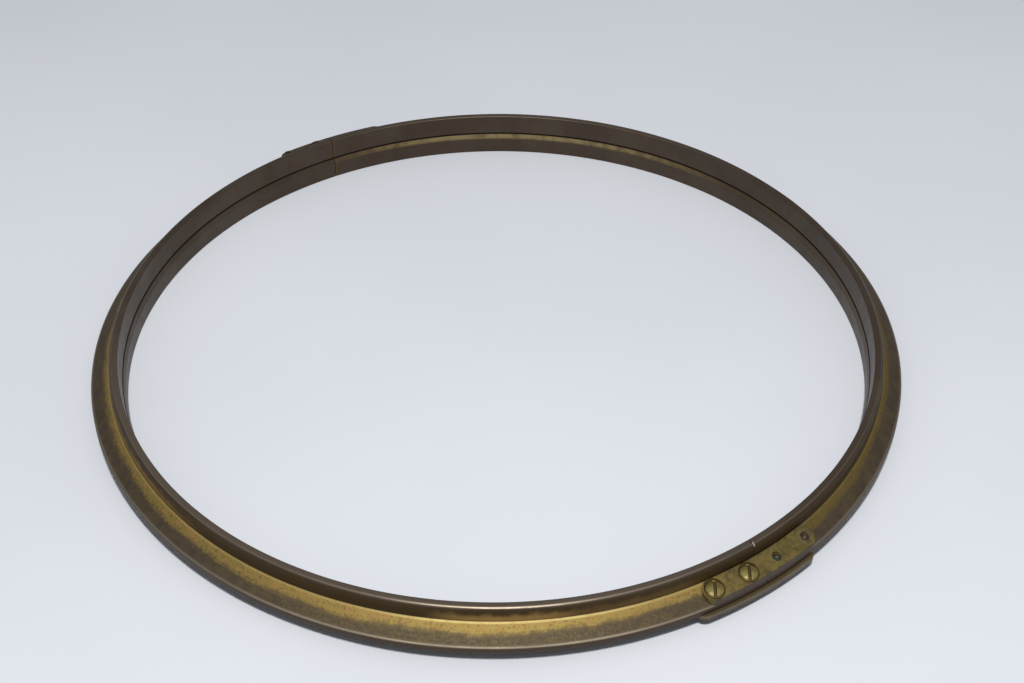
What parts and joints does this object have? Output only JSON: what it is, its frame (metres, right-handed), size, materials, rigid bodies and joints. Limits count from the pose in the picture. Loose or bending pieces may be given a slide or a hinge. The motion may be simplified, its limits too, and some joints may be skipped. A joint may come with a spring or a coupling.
{
  "type": "opening porthole split ring",
  "caption": "Split bronze ring of an opening porthole: flanged half rings joined by splice plates, backing straps, slotted screws and rivets.",
  "frame": {"origin": "on the ring's axis, in the plane that the foot of the wall stands on", "axes": "+Z along the ring's axis, from the foot up to the top rim; +X to the right and -Y to the front, where the front joint shows"},
  "size_m": [0.417, 0.417, 0.0238],
  "materials": {
    "left_bronze": "dark patina with brass showing through, satin",
    "right_bronze": "dark patina with brass showing through, satin",
    "plate_brass": "olive tarnish, satin",
    "strap_bronze": "grey olive patina, satin",
    "screw_brass": "bright, rubbed",
    "rivet_brass": "dark tarnish"
  },
  "bodies": {
    "ring": {"left_half_ring": "left_bronze", "right_half_ring": "right_bronze", "front_splice_plate": "plate_brass", "rear_splice_plate": "plate_brass", "front_backing_strap": "strap_bronze", "rear_backing_strap": "strap_bronze", "front_end_rivet": "rivet_brass", "front_inner_rivet": "rivet_brass", "rear_end_rivet": "rivet_brass", "rear_inner_rivet": "rivet_brass"},
    "front_end_screw": {"front_end_screw": "screw_brass"},
    "front_inner_screw": {"front_inner_screw": "screw_brass"},
    "rear_end_screw": {"rear_end_screw": "screw_brass"},
    "rear_inner_screw": {"rear_inner_screw": "screw_brass"}
  },
  "joints": [
    {"name": "front_end_screw_turn", "type": "hinge", "parent": "ring", "child": "front_end_screw", "pos_m": [0.09496, -0.18044, 0.01575], "axis": [0.0406, -0.0771, 0.9962], "continuous": true},
    {"name": "front_inner_screw_turn", "type": "hinge", "parent": "ring", "child": "front_inner_screw", "pos_m": [0.11117, -0.17093, 0.01575], "axis": [0.0475, -0.0731, 0.9962], "continuous": true},
    {"name": "rear_end_screw_turn", "type": "hinge", "parent": "ring", "child": "rear_end_screw", "pos_m": [-0.12141, 0.16381, 0.01721], "axis": [-0.0519, 0.07, 0.9962], "continuous": true},
    {"name": "rear_inner_screw_turn", "type": "hinge", "parent": "ring", "child": "rear_inner_screw", "pos_m": [-0.10581, 0.1743, 0.01721], "axis": [-0.0452, 0.0745, 0.9962], "continuous": true}
  ]
}
